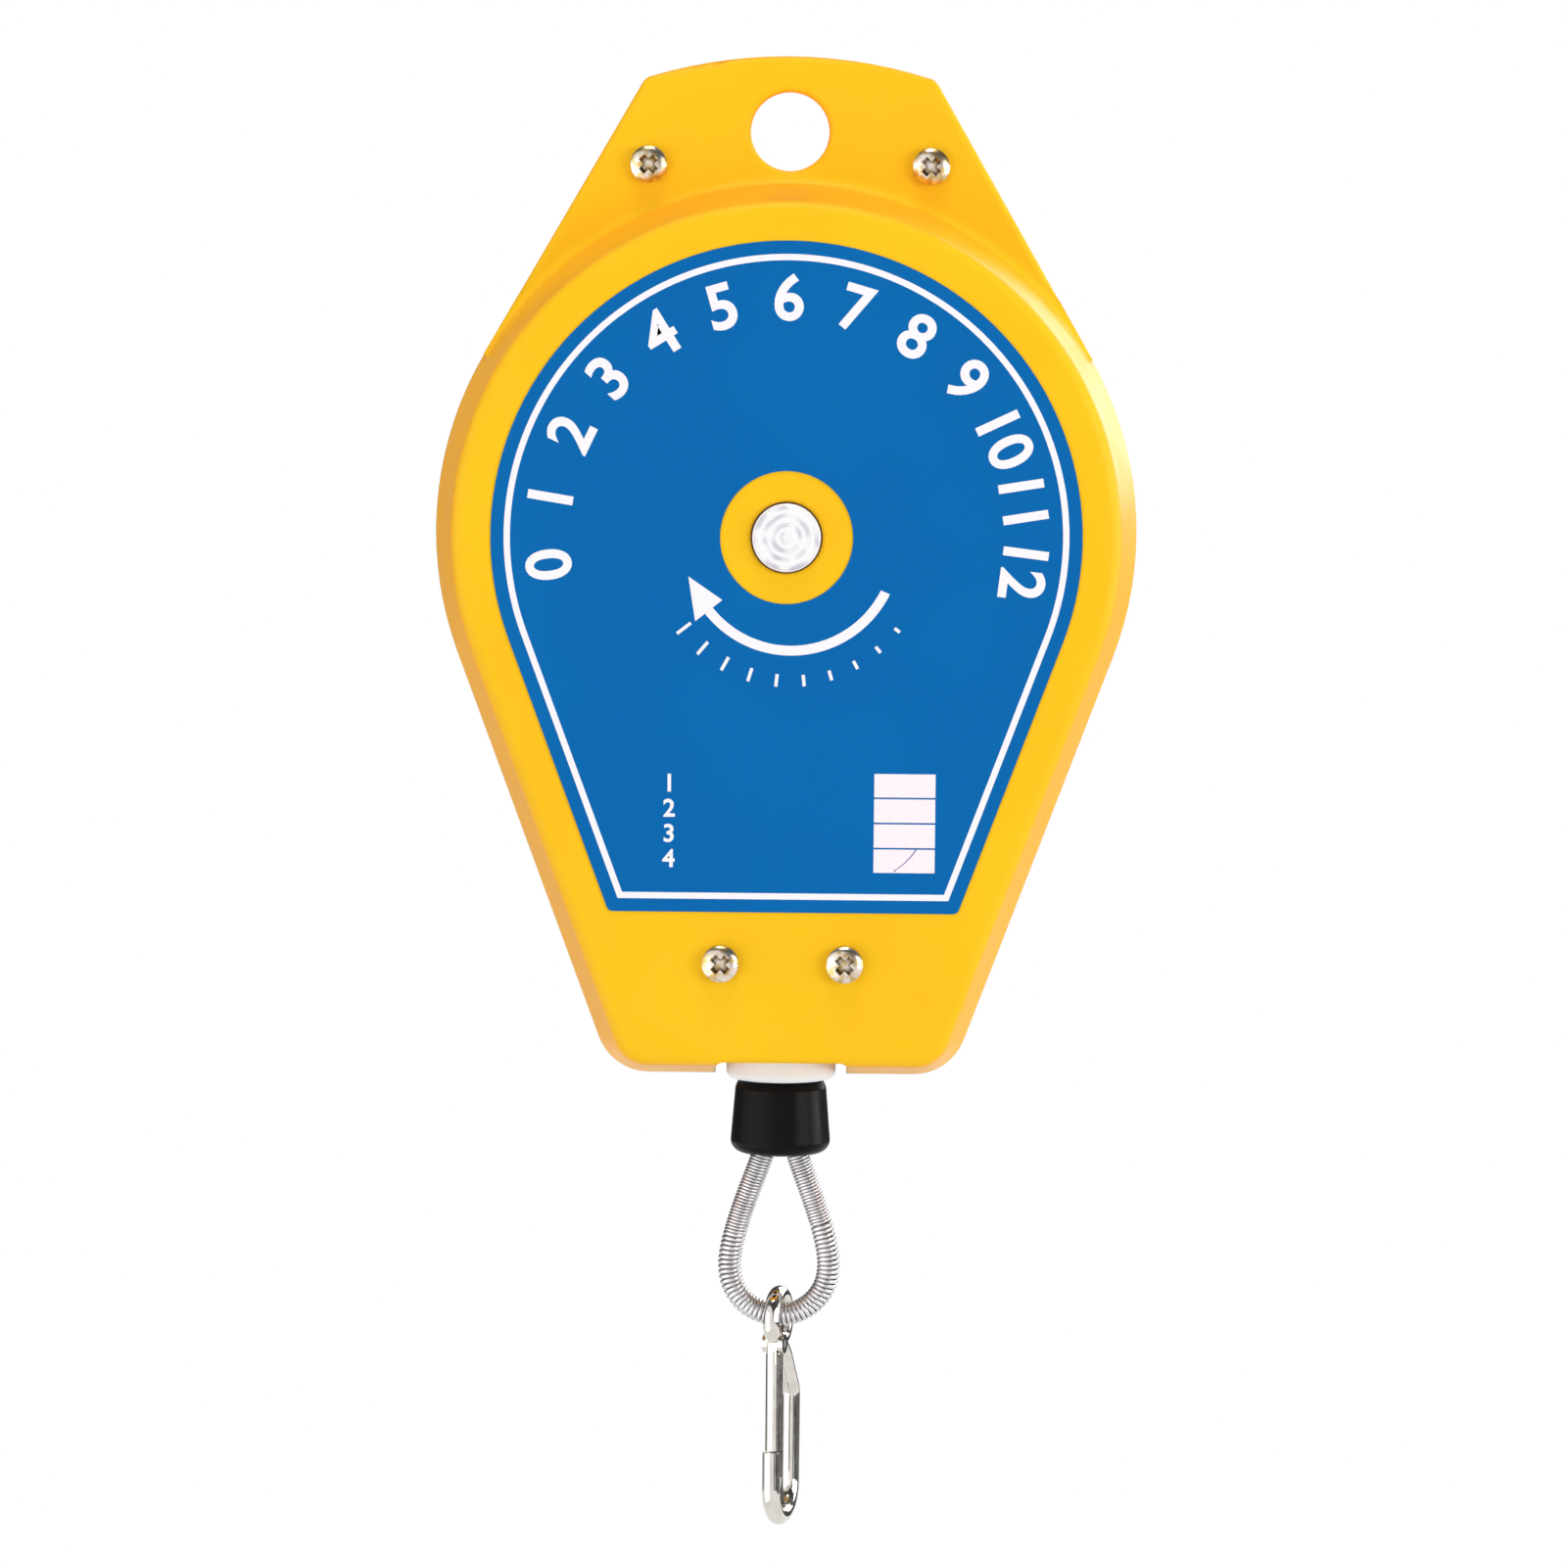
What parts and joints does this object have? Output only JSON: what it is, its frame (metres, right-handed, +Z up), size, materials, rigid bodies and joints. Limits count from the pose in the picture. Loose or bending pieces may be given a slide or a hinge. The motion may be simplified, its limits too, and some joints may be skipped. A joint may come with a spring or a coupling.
{
  "type": "tool balancer",
  "caption": "Spring balancer for hand tools: yellow drafted case with a hanging ear, rope drum with power spring and ratchet, rubber stop, sheathed rope loop and snap hook.",
  "frame": {"origin": "centre of the hanging hole, on the joint between the two covers", "axes": "+Z up along the rope line, -Y out of the labelled front, +X to the right as seen from the front"},
  "size_m": [0.13, 0.0543, 0.2747],
  "materials": {
    "yellow_case": "die-cast, smooth semi-gloss enamel",
    "blue_label": "printed film",
    "bronze": "sintered, oiled",
    "white_nylon": "moulded",
    "zinc_steel": "zinc plated",
    "turned_steel": "faced on the lathe",
    "spring_steel": "blued spring steel",
    "wire_rope": "stranded galvanised wire",
    "cast_aluminium": "as cast and turned",
    "black_rubber": "moulded, slight sheen",
    "sheath_wire": "bright drawn spring wire",
    "nickel_plate": "nickel plated"
  },
  "bodies": {
    "case": {"front_cover": "yellow_case", "rear_cover": "yellow_case", "rating_label": "blue_label", "front_bush": "bronze", "rear_bush": "bronze", "rope_guide": "white_nylon", "pawl_pin": "zinc_steel", "leaf_post": "zinc_steel", "pawl_leaf": "spring_steel", "rope_run": "wire_rope", "ear_screw_left": "zinc_steel", "ear_screw_right": "zinc_steel", "lower_screw_left": "zinc_steel", "lower_screw_right": "zinc_steel"},
    "drum": {"rope_drum": "cast_aluminium", "drum_lid": "cast_aluminium", "drum_bush_front": "bronze", "drum_bush_rear": "bronze", "rope_wraps": "wire_rope", "rope_anchor": "cast_aluminium", "power_spring": "spring_steel", "lid_screw_1": "zinc_steel", "lid_screw_2": "zinc_steel", "lid_screw_3": "zinc_steel", "lid_screw_4": "zinc_steel"},
    "spindle": {"spindle": "turned_steel", "ratchet_wheel": "zinc_steel", "wheel_washer": "zinc_steel", "wheel_clip": "spring_steel"},
    "pawl": {"pawl": "zinc_steel"},
    "rope_end": {"rope_payout": "wire_rope", "rope_ferrule": "cast_aluminium", "rubber_stop": "black_rubber", "rope_loop": "wire_rope", "loop_sheath": "sheath_wire"},
    "hook": {"snap_hook": "nickel_plate", "gate_pin": "zinc_steel"},
    "gate": {"hook_gate": "nickel_plate"}
  },
  "joints": [
    {"name": "rope_pull", "type": "slide", "parent": "case", "child": "rope_end", "axis": [0, 0, -1], "range_m": [0, 1.3], "stiffness_N_per_m": 14.6, "springref_m": -2.05, "deforming": ["rope_payout"]},
    {"name": "drum_spin", "type": "hinge", "parent": "case", "child": "drum", "pos_m": [0, 0, -0.074], "axis": [0, -1, 0], "range_deg": [0, 1961], "deforming": ["power_spring", "rope_run"]},
    {"name": "tension_click", "type": "hinge", "parent": "case", "child": "spindle", "pos_m": [0, 0, -0.074], "axis": [0, 1, 0], "range_deg": [0, 29], "deforming": ["power_spring"]},
    {"name": "pawl_lift", "type": "hinge", "parent": "case", "child": "pawl", "pos_m": [-0.017, 0.0234, -0.0565], "axis": [0, -1, 0], "range_deg": [0, 10.6], "deforming": ["pawl_leaf"]},
    {"name": "hook_swing", "type": "hinge", "parent": "rope_end", "child": "hook", "pos_m": [0, 0, -0.22065], "axis": [1, 0, 0], "range_deg": [-60, 60]},
    {"name": "gate_open", "type": "hinge", "parent": "hook", "child": "gate", "pos_m": [-0.00067, -0.0022, -0.2257], "axis": [0.9563, -0.2924, 0], "range_deg": [0, 16], "stiffness_Nm_per_rad": 0.02, "springref_deg": -20.05}
  ],
  "couplings": [
    {"joint": "drum_spin", "follows": "rope_pull", "rad_per_m": 26.316},
    {"joint": "pawl_lift", "follows": "tension_click", "ratio": 0.36}
  ]
}
